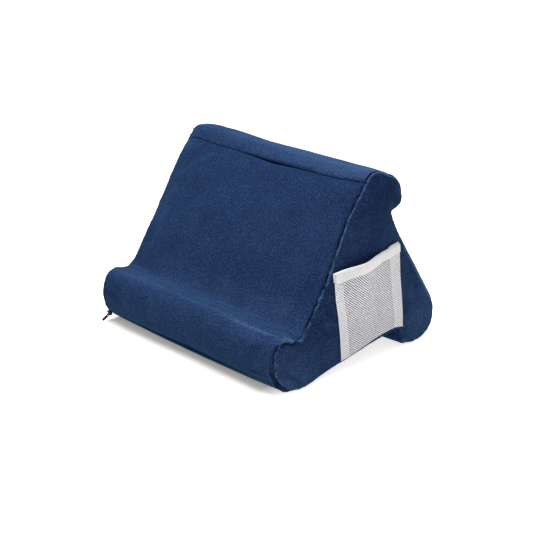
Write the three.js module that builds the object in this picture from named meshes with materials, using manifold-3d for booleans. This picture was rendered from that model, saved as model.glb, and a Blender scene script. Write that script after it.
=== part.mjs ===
// Tablet pillow stand: a plush, foam-filled wedge with three rolled lobes, a net pocket on its right end
// and a zip pull at its left front corner.
// Millimetres. X runs along the stand, Y from its front to its back and Z up from the table.
import * as THREE from "three";
import Module from "manifold-3d";

const wasm = await Module();
wasm.setup();
const rad = THREE.MathUtils.degToRad;

// Sizes of the cushion
// Each lobe is a round of radius r about y and z, with a tighter heel that starts at heelAt.
// Its shelf looks towards shelf, and the notch beside the shelf has a radius of its own. Angles are in
// degrees from straight back, turning up.
const LIP = { y: -83.5, z: 33.6, r: 34.5, heel: 13.4, heelAt: 150, shelf: 70, notch: 7 };
const FOOT = { y: 88.3, z: 28.7, r: 29.9, heel: 12, heelAt: 228, shelf: 200, notch: 5 };
const ROLL = { y: 37.6, z: 171.2, r: 22, heel: 14, heelAt: -3, shelf: -62, notch: 5 };
const SHOULDER = { y: 19.6, z: 185.3, r: 12.4 };
const CORE = { y: 5, z: 75 };
const TOP_LOOKS = 76.5;
const FRONT_LOOKS = 148;
const BACK_LOOKS = 33.1;
const BASE_LOOKS = 279.7;
const ZIP_SEAM_AT = 222;
const SEAM_SPAN = 268;
const BODY_SWELL = 3;
const BODY_ROLL = 14;
const END_SEAM_DEPTH = 1.5;
const SEAM_BOW = { by: 5, z: 156, spread: 30 };
const END_EDGE = 3;
const END_ROLL = 9;
const END_CROWN = 6;
const TOP_SEAM_DEPTH = 2.4;
const TOP_SEAM_SAG = 5;
const ZIP_SEAM_DEPTH = 1.4;
const UNEVENNESS = 0.7;
const FACE_STEPS = 4;

// Sizes of the pocket
const POCKET = { y: -21.9, z: 12.8, turn: 9.7, width: 94, baseWidth: 89, frontHeight: 100, rearHeight: 94 };
const NET_THICKNESS = 1.2;
const HEM_THICKNESS = 2;
const HEM_WIDTH = 14;
const MOUTH_GAPE = 6.5;
const MOUTH_AT = 0.38;
const MOUTH_SPREAD = 0.2;
const SEWN_STANDOFF = 1.5;
const TOP_STANDOFF = 3;
const BINDING_HEIGHT = 10;
const BINDING_CLOTH = 0.9;
const GAP = 0.65;

// Sizes of the zip slider and its pull
// The slider is centred at x, looks towards looks and starts at seat off the lip's round. The pull starts
// at start above the slider's seat.
const SLIDER = { x: -132.5, looks: 208, seat: 2.8, length: 6.5, width: 5.2, thickness: 2 };
const BRIDGE = { span: 5, bar: 1, rise: 2.6, width: 1 };
const PULL = {
  start: 2.4,
  length: 10.5,
  width: 3.1,
  thickness: 1.1,
  endBar: 0.8,
  slotWidth: 1.7,
  slotLength: 2.2,
};

// Colours
const NAVY = new THREE.MeshStandardMaterial({ color: 0x1f3d74, roughness: 0.92, metalness: 0 });
const NET_WHITE = new THREE.MeshStandardMaterial({ color: 0xd6d5db, roughness: 0.75, metalness: 0 });
const TAPE_WHITE = new THREE.MeshStandardMaterial({ color: 0xe6e5e1, roughness: 0.7, metalness: 0 });
const ZIP_BLACK = new THREE.MeshStandardMaterial({ color: 0x17181b, roughness: 0.45, metalness: 0.6 });

// Rounds of the end outline
function heelOf(lobe) {
  const reach = lobe.r - lobe.heel;
  return {
    y: lobe.y + reach * Math.cos(rad(lobe.heelAt)),
    z: lobe.z + reach * Math.sin(rad(lobe.heelAt)),
    r: lobe.heel,
  };
}

// The notch between a long face, which touches a round, and a shelf, which touches a heel.
function notchOf(round, looks, heel, shelf, r) {
  const n1 = { y: Math.cos(rad(looks)), z: Math.sin(rad(looks)) };
  const n2 = { y: Math.cos(rad(shelf)), z: Math.sin(rad(shelf)) };
  const d1 = n1.y * round.y + n1.z * round.z + round.r + r;
  const d2 = n2.y * heel.y + n2.z * heel.z + heel.r + r;
  const det = n1.y * n2.z - n1.z * n2.y;
  return { y: (d1 * n2.z - d2 * n1.z) / det, z: (n1.y * d2 - n2.y * d1) / det, r };
}

// Places along a round from one angle to another; a hollow round looks towards its own centre.
function along(round, from, to, steps, hollow = false) {
  const places = [];
  for (let i = 0; i <= steps; i += 1) {
    const a = rad(from + ((to - from) * i) / steps);
    const way = hollow ? -1 : 1;
    places.push({
      y: round.y + round.r * Math.cos(a),
      z: round.z + round.r * Math.sin(a),
      ny: way * Math.cos(a),
      nz: way * Math.sin(a),
      topSeam: 0,
      zipSeam: 0,
      sags: 0,
    });
  }
  return places;
}

function lipPlaces() {
  const heel = heelOf(LIP);
  const notch = notchOf(SHOULDER, FRONT_LOOKS, heel, LIP.shelf, LIP.notch);
  const groove = along(notch, FRONT_LOOKS + 180, LIP.shelf + 180, 4, true);
  const crest = along(heel, LIP.shelf, LIP.heelAt, 5);
  const front = along(LIP, LIP.heelAt, ZIP_SEAM_AT - 6, 6);
  const seam = along(LIP, ZIP_SEAM_AT - 6, ZIP_SEAM_AT + 6, 2);
  const under = along(LIP, ZIP_SEAM_AT + 6, BASE_LOOKS, 4);
  seam[1].zipSeam = 1;
  return [...groove, ...crest, ...front.slice(1), ...seam.slice(1), ...under.slice(1)];
}

function footPlaces() {
  const heel = heelOf(FOOT);
  const notch = notchOf(LIP, BASE_LOOKS, heel, FOOT.shelf, FOOT.notch);
  const hollow = along(notch, BASE_LOOKS - 180, FOOT.shelf - 180, 4, true);
  const inner = along(heel, FOOT.shelf, FOOT.heelAt, 3);
  const outer = along(FOOT, FOOT.heelAt, BACK_LOOKS + 360, 13);
  return [...hollow, ...inner, ...outer.slice(1)];
}

function rollPlaces() {
  const heel = heelOf(ROLL);
  const notch = notchOf(FOOT, BACK_LOOKS, heel, ROLL.shelf, ROLL.notch);
  const hollow = along(notch, BACK_LOOKS + 180, ROLL.shelf + 180, 4, true);
  const rear = along(heel, ROLL.shelf, ROLL.heelAt, 4);
  const top = along(ROLL, ROLL.heelAt, TOP_LOOKS, 7);
  const shoulder = along(SHOULDER, TOP_LOOKS, FRONT_LOOKS - 16, 3);
  const seam = along(SHOULDER, FRONT_LOOKS - 16, FRONT_LOOKS, 1)[1];
  const below = { ...seam, y: seam.y - 3.4 * seam.nz, z: seam.z + 3.4 * seam.ny };
  seam.topSeam = 1;
  shoulder[3].sags = 0.7;
  seam.sags = 1;
  below.sags = 1;
  return [...hollow, ...rear, ...top.slice(1), ...shoulder, seam, below];
}

// The end outline, once round, and the hubs inside it that the end panels close on.
function endOutline() {
  const lobes = [lipPlaces(), footPlaces(), rollPlaces()];
  const centres = [LIP, FOOT, ROLL];
  const hubs = [CORE];
  for (const centre of centres) {
    for (let k = 0; k < FACE_STEPS; k += 1) {
      const share = k / FACE_STEPS;
      hubs.push({
        y: centre.y + (CORE.y - centre.y) * share,
        z: centre.z + (CORE.z - centre.z) * share,
      });
    }
  }
  const hubOf = (lobe, k) => (k === FACE_STEPS ? 0 : 1 + lobe * FACE_STEPS + k);
  const places = [];
  for (let lobe = 0; lobe < 3; lobe += 1) {
    const next = (lobe + 1) % 3;
    const from = lobes[lobe][lobes[lobe].length - 1];
    const to = lobes[next][0];
    for (const place of lobes[lobe]) {
      places.push({ ...place, hub: hubOf(lobe, 0) });
    }
    for (let k = 1; k < 2 * FACE_STEPS; k += 1) {
      const share = k / (2 * FACE_STEPS);
      places.push({
        ...from,
        y: from.y + (to.y - from.y) * share,
        z: from.z + (to.z - from.z) * share,
        topSeam: 0,
        zipSeam: 0,
        sags: 0,
        hub: k <= FACE_STEPS ? hubOf(lobe, k) : hubOf(next, 2 * FACE_STEPS - k),
      });
    }
  }
  return { places, hubs };
}

// A quarter round: 0 at its edge and 1 from reach inwards.
const rolled = (inset, reach) => Math.sqrt(1 - (1 - Math.min(inset / reach, 1)) ** 2);

// The right end seam bows inwards along the upper front, where the end panel rolls over it.
function seamBow(place) {
  const onFront = place.ny < 0 && place.nz > 0 ? 1 : 0;
  return onFront * SEAM_BOW.by * Math.exp(-(((place.z - SEAM_BOW.z) / SEAM_BOW.spread) ** 2));
}

// The cloth around the cushion at x: swollen between the end seams, drawn in along the long seams, flat on
// the table.
function wrapPoint(place, x) {
  const half = SEAM_SPAN / 2;
  const fill = rolled(half - Math.abs(x), BODY_ROLL);
  const wave = Math.sin(x / 31 + place.z / 23) * Math.cos(x / 57 - place.y / 29);
  const pull = 1 + 0.5 * Math.exp(-(((x + 20) / 45) ** 2));
  const drawn = place.topSeam * TOP_SEAM_DEPTH * pull + place.zipSeam * ZIP_SEAM_DEPTH;
  const edge = Math.max(1 - (half - Math.abs(x)) / 1.5, 0);
  const out = fill * (BODY_SWELL + UNEVENNESS * wave - drawn) - edge * END_SEAM_DEPTH;
  const sag = place.sags * TOP_SEAM_SAG * (1 - (x / half) ** 2);
  const y = place.y + place.ny * out - place.nz * sag;
  const z = place.z + place.nz * out + place.ny * sag;
  const bowed = x > 0 ? x - seamBow(place) * (x / half) ** 4 : x;
  return new THREE.Vector3(bowed, y, Math.max(z, 0));
}

function makeCushion() {
  const { places, hubs } = endOutline();
  const half = SEAM_SPAN / 2;
  const count = places.length;
  const points = [];
  const faces = [];
  const addRing = (make) => {
    const first = points.length;
    places.forEach((place, i) => points.push(make(place, i)));
    return first;
  };
  const quads = (a, b, flip) => {
    for (let i = 0; i < count; i += 1) {
      const j = (i + 1) % count;
      const two = [a + i, a + j, b + j, a + i, b + j, b + i];
      faces.push(...(flip ? two.reverse() : two));
    }
  };

  const insets = [0, 1.5, 4, 9, 17, 50, 92];
  const stations = [...insets.map((d) => d - half), 0, ...insets.map((d) => half - d).reverse()];
  const rings = stations.map((x) => addRing((place) => wrapPoint(place, x)));
  for (let s = 0; s + 1 < rings.length; s += 1) {
    quads(rings[s], rings[s + 1], false);
  }

  for (const side of [-1, 1]) {
    const flip = side < 0;
    const panelPoint = (place, depth) => {
      const hub = hubs[place.hub];
      const reach = Math.hypot(hub.y - place.y, hub.z - place.z);
      const share = Math.min(depth < 1 ? depth : depth / reach, 1);
      const rise = END_EDGE * rolled(share * reach, END_ROLL);
      const crown = (END_CROWN - END_EDGE) * Math.sin((share * Math.PI) / 2);
      const y = place.y + (hub.y - place.y) * share;
      const z = place.z + (hub.z - place.z) * share;
      const bow = side > 0 ? seamBow(place) * Math.max(1 - (share * reach) / 9, 0) : 0;
      return new THREE.Vector3(side * (half + rise + crown - bow), y, Math.max(z, 0));
    };
    let outer = side < 0 ? rings[0] : rings[rings.length - 1];
    for (const depth of [1.5, 4, 9, 0.6]) {
      const inner = addRing((place) => panelPoint(place, depth));
      quads(outer, inner, flip);
      outer = inner;
    }
    const firstHub = points.length;
    hubs.forEach((hub) => points.push(new THREE.Vector3(side * (half + END_CROWN), hub.y, hub.z)));
    for (let i = 0; i < count; i += 1) {
      const j = (i + 1) % count;
      const a = firstHub + places[i].hub;
      const b = firstHub + places[j].hub;
      const closing = [outer + i, outer + j, b];
      if (a !== b) {
        closing.push(outer + i, b, a);
      }
      faces.push(...(flip ? closing.reverse() : closing));
    }
  }
  return solid(points, faces);
}

function solid(points, faces) {
  const geometry = new THREE.BufferGeometry().setFromPoints(points);
  geometry.setIndex(faces);
  geometry.computeVertexNormals();
  return geometry;
}

// The pocket lies over the right end panel, square to the base seam: across it and up it.
const pocketAcross = { y: Math.cos(rad(POCKET.turn)), z: Math.sin(rad(POCKET.turn)) };
const pocketHeight = (s) =>
  POCKET.frontHeight + ((POCKET.rearHeight - POCKET.frontHeight) * s) / POCKET.width;

// The middle of the net at s across and t up, standing off the end panel and gaping at the mouth.
function pocketPoint(panel, s, t) {
  const up = t / pocketHeight(s);
  const wide = s * (up + ((1 - up) * POCKET.baseWidth) / POCKET.width);
  const y = POCKET.y + pocketAcross.y * wide - pocketAcross.z * t;
  const z = POCKET.z + pocketAcross.z * wide + pocketAcross.y * t;
  const ray = new THREE.Raycaster(new THREE.Vector3(SEAM_SPAN, y, z), new THREE.Vector3(-1, 0, 0));
  const rest = ray.intersectObject(panel)[0].point.x;
  const bump = Math.exp(-(((s / POCKET.width - MOUTH_AT) / MOUTH_SPREAD) ** 2));
  const hold = Math.max(Math.sin((Math.PI * s) / POCKET.width), 0);
  const gape = MOUTH_GAPE * bump * Math.sqrt(hold) * up ** 1.4;
  const standoff = SEWN_STANDOFF + (TOP_STANDOFF - SEWN_STANDOFF) * up ** 2;
  return new THREE.Vector3(rest + standoff + gape, y, z);
}

// A sheet between a front and a back of equal rows, closed around its edge.
function sheetSolid(front, back) {
  const rows = front.length;
  const columns = front[0].length;
  const points = [...front.flat(), ...back.flat()];
  const at = (layer, r, c) => layer * rows * columns + r * columns + c;
  const faces = [];
  for (let r = 0; r + 1 < rows; r += 1) {
    for (let c = 0; c + 1 < columns; c += 1) {
      faces.push(at(0, r, c), at(0, r, c + 1), at(0, r + 1, c + 1));
      faces.push(at(0, r, c), at(0, r + 1, c + 1), at(0, r + 1, c));
      faces.push(at(1, r, c), at(1, r + 1, c + 1), at(1, r, c + 1));
      faces.push(at(1, r, c), at(1, r + 1, c), at(1, r + 1, c + 1));
    }
  }
  const rim = [];
  for (let c = 0; c + 1 < columns; c += 1) {
    rim.push([0, c]);
  }
  for (let r = 0; r + 1 < rows; r += 1) {
    rim.push([r, columns - 1]);
  }
  for (let c = columns - 1; c > 0; c -= 1) {
    rim.push([rows - 1, c]);
  }
  for (let r = rows - 1; r > 0; r -= 1) {
    rim.push([r, 0]);
  }
  rim.forEach(([r, c], i) => {
    const [r2, c2] = rim[(i + 1) % rim.length];
    faces.push(at(0, r, c), at(1, r2, c2), at(0, r2, c2));
    faces.push(at(0, r, c), at(1, r, c), at(1, r2, c2));
  });
  return solid(points, faces);
}

// Places across the pocket, closer at the hems, that the net and the tape share.
function pocketColumns() {
  const edge = [0, HEM_WIDTH / 5, HEM_WIDTH / 2, HEM_WIDTH, HEM_WIDTH + 1];
  const inner = POCKET.width - 2 * HEM_WIDTH;
  const between = [];
  for (let i = 1; i < 14; i += 1) {
    between.push(HEM_WIDTH + (inner * i) / 14);
  }
  return [...edge, ...between, ...edge.map((s) => POCKET.width - s).reverse()];
}

// The net, with a doubled hem at each side that stops under the tape.
function makePocketNet(panel) {
  const across = pocketColumns();
  const hemTop = BINDING_HEIGHT + 1.5;
  const shares = [0, 0.02, 0.05, 0.1, 0.2, 0.34, 0.5, 0.66, 0.83, 1];
  const layers = [1, -1].map((side) => {
    const hemRows = shares.map((share) =>
      across.map((s) => {
        const hem = Math.min(s, POCKET.width - s) <= HEM_WIDTH;
        const half = (hem ? HEM_THICKNESS : NET_THICKNESS) / 2;
        const point = pocketPoint(panel, s, share * (pocketHeight(s) - hemTop));
        return point.setX(point.x + side * half);
      }),
    );
    const tapeRows = [hemTop - 1, BINDING_HEIGHT / 2, BINDING_CLOTH + GAP].map((below) =>
      across.map((s) => {
        const point = pocketPoint(panel, s, pocketHeight(s) - below);
        return point.setX(point.x + (side * NET_THICKNESS) / 2);
      }),
    );
    return [...hemRows, ...tapeRows];
  });
  return sheetSolid(layers[0], layers[1]);
}

// The tape folded over the net's top edge: a long fold with one leg on each side of the net.
function makeBinding(panel) {
  const inside = NET_THICKNESS / 2 + GAP;
  const outside = inside + BINDING_CLOTH;
  const fold = [
    { x: outside, t: -BINDING_HEIGHT },
    { x: outside, t: -BINDING_HEIGHT / 2 },
    { x: outside, t: -BINDING_CLOTH },
    { x: outside - BINDING_CLOTH, t: 0 },
    { x: BINDING_CLOTH - outside, t: 0 },
    { x: -outside, t: -BINDING_CLOTH },
    { x: -outside, t: -BINDING_HEIGHT / 2 },
    { x: -outside, t: -BINDING_HEIGHT },
    { x: -inside, t: -BINDING_HEIGHT },
    { x: -inside, t: -BINDING_HEIGHT / 2 },
    { x: -inside, t: -BINDING_CLOTH },
    { x: inside, t: -BINDING_CLOTH },
    { x: inside, t: -BINDING_HEIGHT / 2 },
    { x: inside, t: -BINDING_HEIGHT },
  ];
  const across = pocketColumns();
  const steps = across.length - 1;
  const points = [];
  for (const s of across) {
    for (const corner of fold) {
      const middle = pocketPoint(panel, s, pocketHeight(s) + corner.t);
      points.push(middle.setX(middle.x + corner.x));
    }
  }
  const faces = [];
  const n = fold.length;
  for (let i = 0; i < steps; i += 1) {
    for (let k = 0; k < n; k += 1) {
      const a = i * n + k;
      const b = i * n + ((k + 1) % n);
      faces.push(a, a + n, b + n, a, b + n, b);
    }
  }
  const cap = THREE.ShapeUtils.triangulateShape(fold.map((c) => new THREE.Vector2(c.x, c.t)), []);
  for (const [a, b, c] of cap) {
    faces.push(a, b, c);
    faces.push(steps * n + a, steps * n + c, steps * n + b);
  }
  return solid(points, faces);
}

// Joins closed shapes into one.
function joined(geometries) {
  const parts = geometries.map((geometry) => {
    const position = geometry.getAttribute("position");
    const seen = new Map();
    const vertices = [];
    const triangles = [];
    for (let i = 0; i < position.count; i += 1) {
      const place = [position.getX(i), position.getY(i), position.getZ(i)];
      const key = place.map((v) => Math.round(v * 1e4)).join(" ");
      if (!seen.has(key)) {
        seen.set(key, seen.size);
        vertices.push(...place);
      }
      triangles.push(seen.get(key));
    }
    return new wasm.Manifold(
      new wasm.Mesh({
        numProp: 3,
        vertProperties: new Float32Array(vertices),
        triVerts: new Uint32Array(triangles),
      }),
    );
  });
  const whole = parts.reduce((a, b) => a.add(b)).getMesh();
  const geometry = new THREE.BufferGeometry();
  geometry.setAttribute("position", new THREE.BufferAttribute(whole.vertProperties, 3));
  geometry.setIndex(new THREE.BufferAttribute(whole.triVerts, 1));
  return geometry;
}

// Directions at the slider: along the zip, across it and outwards, where the pull reaches.
const zipAlong = new THREE.Vector3(1, 0, 0);
const zipOut = new THREE.Vector3(0, Math.cos(rad(SLIDER.looks)), Math.sin(rad(SLIDER.looks)));
const zipAcross = new THREE.Vector3().crossVectors(zipOut, zipAlong);
const zipSeat = new THREE.Vector3(
  SLIDER.x,
  LIP.y + (LIP.r + SLIDER.seat) * Math.cos(rad(ZIP_SEAM_AT)),
  LIP.z + (LIP.r + SLIDER.seat) * Math.sin(rad(ZIP_SEAM_AT)),
);

// The slider is a shield-shaped plate on the zip seam, with a bridge that the pull hooks around.
function makeSlider() {
  const { length, width, thickness } = SLIDER;
  const shield = new THREE.Shape();
  shield.moveTo(-length / 2, -width / 2);
  shield.lineTo(length / 6, -width / 2);
  shield.lineTo(length / 2, -width / 4);
  shield.lineTo(length / 2, width / 4);
  shield.lineTo(length / 6, width / 2);
  shield.lineTo(-length / 2, width / 2);
  shield.closePath();
  const plate = new THREE.ExtrudeGeometry(shield, { depth: thickness, bevelEnabled: false });
  const { span, bar, rise } = BRIDGE;
  const sunk = -0.4;
  const arch = new THREE.Shape();
  arch.moveTo(-span / 2, sunk);
  arch.lineTo(-span / 2 + bar, sunk);
  arch.lineTo(-span / 2 + bar, rise - bar);
  arch.lineTo(span / 2 - bar, rise - bar);
  arch.lineTo(span / 2 - bar, sunk);
  arch.lineTo(span / 2, sunk);
  arch.lineTo(span / 2, rise - bar);
  arch.lineTo(span / 2 - bar, rise);
  arch.lineTo(-span / 2 + bar, rise);
  arch.lineTo(-span / 2, rise - bar);
  arch.closePath();
  const bridge = new THREE.ExtrudeGeometry(arch, { depth: BRIDGE.width, bevelEnabled: false });
  bridge.rotateX(Math.PI / 2);
  bridge.translate(0, BRIDGE.width / 2, thickness);
  const frame = new THREE.Matrix4().makeBasis(zipAlong, zipAcross, zipOut).setPosition(zipSeat);
  return joined([plate, bridge]).applyMatrix4(frame);
}

// The pull is a flat tab with a slot around the bridge's bar; it reaches forwards, just off the table.
function makePull() {
  const { start, length, width, thickness, slotWidth, slotLength, endBar } = PULL;
  const tab = new THREE.Shape();
  tab.moveTo(-width / 2, start);
  tab.lineTo(width / 2, start);
  tab.lineTo(width / 2, start + length - width / 2);
  tab.absarc(0, start + length - width / 2, width / 2, 0, Math.PI, false);
  tab.closePath();
  const slot = new THREE.Path();
  slot.moveTo(-slotWidth / 2, start + endBar);
  slot.lineTo(-slotWidth / 2, start + endBar + slotLength);
  slot.lineTo(slotWidth / 2, start + endBar + slotLength);
  slot.lineTo(slotWidth / 2, start + endBar);
  slot.closePath();
  tab.holes.push(slot);
  const pull = new THREE.ExtrudeGeometry(tab, { depth: thickness, bevelEnabled: false, curveSegments: 8 });
  pull.translate(0, 0, -thickness / 2);
  const frame = new THREE.Matrix4().makeBasis(zipAcross, zipOut, zipAlong).setPosition(zipSeat);
  return pull.applyMatrix4(frame);
}

// The stand, set so that its box sits on the table, centred on the origin.
const cushion = new THREE.Mesh(makeCushion(), NAVY);
cushion.name = "cushion";
const pocketNet = new THREE.Mesh(makePocketNet(cushion), NET_WHITE);
pocketNet.name = "pocket_mesh";
const binding = new THREE.Mesh(makeBinding(cushion), TAPE_WHITE);
binding.name = "pocket_binding";
const slider = new THREE.Mesh(makeSlider(), ZIP_BLACK);
slider.name = "zip_slider";
const pull = new THREE.Mesh(makePull(), ZIP_BLACK.clone());
pull.name = "zip_pull";

const stand = new THREE.Group();
stand.name = "tablet_pillow_stand";
stand.add(cushion, pocketNet, binding, slider, pull);
const box = new THREE.Box3().setFromObject(stand);
const middle = box.getCenter(new THREE.Vector3());
stand.children.forEach((piece) => piece.geometry.translate(-middle.x, -middle.y, -box.min.z));

export default stand;
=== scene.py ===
# Tablet pillow stand: a foam wedge in a sewn plush cover, with a net pocket on its right end and a zip pull at
# its left front corner. Metres, in the frame of the solids: X along the stand, Y to its back, Z up.
import math

import bmesh
import bpy
import numpy as np
from mathutils import Matrix, Vector, noise
from mathutils.bvhtree import BVHTree
from mathutils.kdtree import KDTree


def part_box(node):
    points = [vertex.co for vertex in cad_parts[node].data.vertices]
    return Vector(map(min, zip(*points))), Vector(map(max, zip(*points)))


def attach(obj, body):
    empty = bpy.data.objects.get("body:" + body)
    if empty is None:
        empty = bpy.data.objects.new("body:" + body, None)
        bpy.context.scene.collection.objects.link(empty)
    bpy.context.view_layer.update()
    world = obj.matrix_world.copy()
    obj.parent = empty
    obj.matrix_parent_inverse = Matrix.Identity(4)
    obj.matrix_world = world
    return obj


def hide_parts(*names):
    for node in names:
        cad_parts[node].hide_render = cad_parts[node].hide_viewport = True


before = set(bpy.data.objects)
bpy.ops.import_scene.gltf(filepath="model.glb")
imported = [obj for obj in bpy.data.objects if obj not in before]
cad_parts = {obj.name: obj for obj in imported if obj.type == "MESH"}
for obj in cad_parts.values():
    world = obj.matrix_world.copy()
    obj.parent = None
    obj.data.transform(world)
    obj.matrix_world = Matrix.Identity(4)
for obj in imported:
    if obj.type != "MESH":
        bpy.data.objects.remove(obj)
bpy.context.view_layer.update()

# Cut of the cover
# The cover is sewn from one long wrap and two end panels. Its outline, seen from an end, has a lip, a rear
# foot and a top roll, each a round with a tighter heel, joined by straight faces and tight notches.
MM = 0.001
LIP = {"y": -83.5, "z": 33.6, "r": 34.5, "heel": 13.4, "heel_at": 150, "shelf": 70, "notch": 7}
FOOT = {"y": 88.3, "z": 28.7, "r": 29.9, "heel": 12, "heel_at": 228, "shelf": 200, "notch": 5}
ROLL = {"y": 37.6, "z": 171.2, "r": 22, "heel": 14, "heel_at": -3, "shelf": -62, "notch": 5}
SHOULDER = {"y": 19.6, "z": 185.3, "r": 12.4}
TOP_LOOKS, FRONT_LOOKS, BACK_LOOKS, BASE_LOOKS = 76.5, 148, 33.1, 279.7
ZIP_SEAM_AT = 222
HALF_SPAN = 134
SEAM_STEP = 1.0
END_SEAM_DEPTH = 1.5
SEAM_BOW, SEAM_BOW_Z, SEAM_BOW_SPREAD = 5, 156, 30
BODY_SWELL = 3
TOP_SEAM_SAG = 5
TOP_SEAM_DIPS = ((-134, 55, 4.3), (95, 35, 2.4), (-79, 32, 1.8))
OUTLINE_Y = 0.66
cushion_low, cushion_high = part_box("cushion")
MIDDLE_X = (cushion_low.x + cushion_high.x) / 2 / MM


def heel_of(lobe):
    reach = lobe["r"] - lobe["heel"]
    turn = math.radians(lobe["heel_at"])
    return {"y": lobe["y"] + reach * math.cos(turn), "z": lobe["z"] + reach * math.sin(turn), "r": lobe["heel"]}


def notch_of(round_, looks, heel, shelf, radius):
    a, b = math.radians(looks), math.radians(shelf)
    first = math.cos(a) * round_["y"] + math.sin(a) * round_["z"] + round_["r"] + radius
    second = math.cos(b) * heel["y"] + math.sin(b) * heel["z"] + heel["r"] + radius
    det = math.sin(b - a)
    return {
        "y": (first * math.sin(b) - second * math.sin(a)) / det,
        "z": (second * math.cos(a) - first * math.cos(b)) / det,
        "r": radius,
    }


def along(round_, start, end, hollow=False):
    """Places (y, z, outward y, outward z) along a round, about SEAM_STEP apart."""
    steps = max(2, round(abs(math.radians(end - start)) * round_["r"] / SEAM_STEP))
    way = -1 if hollow else 1
    turns = [(math.cos(a), math.sin(a)) for a in np.radians(np.linspace(start, end, steps + 1))]
    return [(round_["y"] + round_["r"] * c, round_["z"] + round_["r"] * s, way * c, way * s) for c, s in turns]


def straight(start, end):
    steps = max(2, round(math.dist(start[:2], end[:2]) / SEAM_STEP))
    return [
        (start[0] + (end[0] - start[0]) * k / steps, start[1] + (end[1] - start[1]) * k / steps, start[2], start[3])
        for k in range(1, steps)
    ]


def end_outline():
    lip_heel, foot_heel, roll_heel = heel_of(LIP), heel_of(FOOT), heel_of(ROLL)
    lip_notch = notch_of(SHOULDER, FRONT_LOOKS, lip_heel, LIP["shelf"], LIP["notch"])
    foot_notch = notch_of(LIP, BASE_LOOKS, foot_heel, FOOT["shelf"], FOOT["notch"])
    roll_notch = notch_of(FOOT, BACK_LOOKS, roll_heel, ROLL["shelf"], ROLL["notch"])
    rounds = [
        along(lip_notch, FRONT_LOOKS + 180, LIP["shelf"] + 180, True),
        along(lip_heel, LIP["shelf"], LIP["heel_at"]),
        along(LIP, LIP["heel_at"], BASE_LOOKS),
        along(foot_notch, BASE_LOOKS - 180, FOOT["shelf"] - 180, True),
        along(foot_heel, FOOT["shelf"], FOOT["heel_at"]),
        along(FOOT, FOOT["heel_at"], BACK_LOOKS + 360),
        along(roll_notch, BACK_LOOKS + 180, ROLL["shelf"] + 180, True),
        along(roll_heel, ROLL["shelf"], ROLL["heel_at"]),
        along(ROLL, ROLL["heel_at"], TOP_LOOKS),
        along(SHOULDER, TOP_LOOKS, FRONT_LOOKS),
    ]
    places = []
    for this, after in zip(rounds, rounds[1:] + rounds[:1]):
        places += this + straight(this[-1], after[0])
    return places


def to_row(x, y, z):
    """A point of the cut, in the frame of the solids."""
    return ((x + MIDDLE_X) * MM, (y + OUTLINE_Y) * MM, max(z, 0) * MM)


outline = end_outline()
right_end_seam, left_end_seam = [], []
for y, z, out_y, out_z in outline:
    on_front = out_y < 0 < out_z
    bow = SEAM_BOW * math.exp(-(((z - SEAM_BOW_Z) / SEAM_BOW_SPREAD) ** 2)) if on_front else 0
    drawn_y, drawn_z = y - END_SEAM_DEPTH * out_y, z - END_SEAM_DEPTH * out_z
    right_end_seam.append(to_row(HALF_SPAN - bow, drawn_y, drawn_z))
    left_end_seam.append(to_row(-HALF_SPAN, drawn_y, drawn_z))

front_y, front_z = math.cos(math.radians(FRONT_LOOKS)), math.sin(math.radians(FRONT_LOOKS))
zip_y, zip_z = math.cos(math.radians(ZIP_SEAM_AT)), math.sin(math.radians(ZIP_SEAM_AT))
top_seam, zip_seam = [], []
for x in np.arange(-HALF_SPAN, HALF_SPAN + SEAM_STEP, SEAM_STEP):
    sag = TOP_SEAM_SAG * (1 - (x / HALF_SPAN) ** 2)
    sag += sum(depth * math.exp(-(((x - place) / spread) ** 2)) for place, spread, depth in TOP_SEAM_DIPS)
    top_seam.append(to_row(
        x,
        SHOULDER["y"] + SHOULDER["r"] * front_y - front_z * sag,
        SHOULDER["z"] + SHOULDER["r"] * front_z + front_y * sag,
    ))
    zip_seam.append(to_row(
        x,
        LIP["y"] + (LIP["r"] + BODY_SWELL) * zip_y,
        LIP["z"] + (LIP["r"] + BODY_SWELL) * zip_z,
    ))

# Cushion
# The foam block in its sewn cover: it swells between the seams and is drawn in along them. The cover is blown
# up by a little pressure from inside, held at the seams and on the two feet it rests on.
VOXEL = 0.005
SLACK = 0.0012
PUFF_MIDDLE, PUFF_REACH = 0.0003, 0.0009
SEWN_REACH, RESTS_BELOW = 0.004, 0.002
FRAMES = 20
SEAM_SMOOTHING = 12
LIP_PINCH = {"from": 40, "to": 130, "y": -108.2, "slant": 0.0365, "z": 59.4}
FINE_WITHIN, PINCH_SHARE = (0.0049, 0.0028), 1.8
LOOSE_FROM, LOOSE_OVER = 0.003, 0.008
SEWN_EASE, LOOSE_EASE = 0.0002, 0.0016
LEFT_FULLNESS, LEFT_FROM, LEFT_OVER = 0.0012, 0.08, 0.05
LEDGE_FULLNESS, LEDGE_Z, LEDGE_SPREAD = 1.6, 0.082, 0.028
LEDGE_Y, LEDGE_OVER, LIP_SLACK = -0.1, 0.02, -0.4


def finished_mesh(obj):
    """The mesh of an object with its modifiers done."""
    graph = bpy.context.evaluated_depsgraph_get()
    return bpy.data.meshes.new_from_object(obj.evaluated_get(graph), depsgraph=graph)


def new_object(name, mesh):
    obj = bpy.data.objects.new(name, mesh)
    bpy.context.scene.collection.objects.link(obj)
    return obj


def points_of(mesh, normals=False):
    values = np.zeros(len(mesh.vertices) * 3)
    if normals:
        mesh.vertex_normals.foreach_get("vector", values)
    else:
        mesh.vertices.foreach_get("co", values)
    return values.reshape(-1, 3)


def set_points(mesh, points):
    mesh.vertices.foreach_set("co", points.ravel())
    mesh.update()


def near_line(line, points):
    """For each point, its distance to a line and the nearest place on it."""
    tree = KDTree(len(line))
    for i, place in enumerate(line):
        tree.insert(place, i)
    tree.balance()
    found = [tree.find(p) for p in points]
    return np.array([f[2] for f in found]), np.array([f[1] for f in found])


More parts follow.
